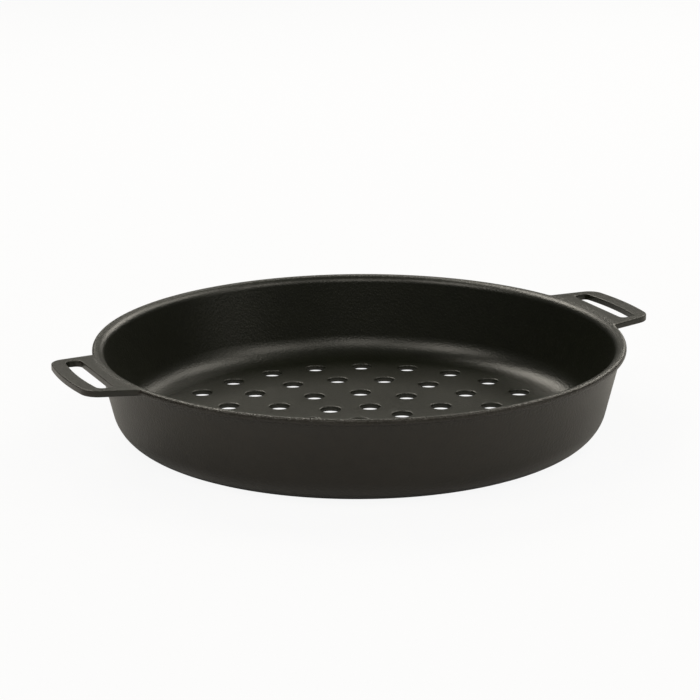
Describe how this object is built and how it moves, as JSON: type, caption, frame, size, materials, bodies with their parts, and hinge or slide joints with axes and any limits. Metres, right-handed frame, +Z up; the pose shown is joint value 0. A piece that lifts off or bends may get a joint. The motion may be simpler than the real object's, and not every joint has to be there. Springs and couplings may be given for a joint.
{
  "type": "perforated oven pan",
  "caption": "Round, shallow cast pan with a flared wall, rounded bottom corner, thick rim, two flat loop handles that rise a little outwards from the rim and a flat perforated floor.",
  "frame": {"origin": "centre of the underside of the floor, which is the centre of the base that the pan stands on", "axes": "+Z up out of the pan's mouth, X along the line through the two handles, Y across it"},
  "size_m": [0.42, 0.36, 0.0628],
  "materials": {
    "coated_casting": "satin"
  },
  "bodies": {
    "root": {"perforated_floor": "coated_casting", "bottom_corner": "coated_casting", "side_wall": "coated_casting", "rim": "coated_casting", "handle_right": "coated_casting", "handle_left": "coated_casting"}
  },
  "joints": []
}
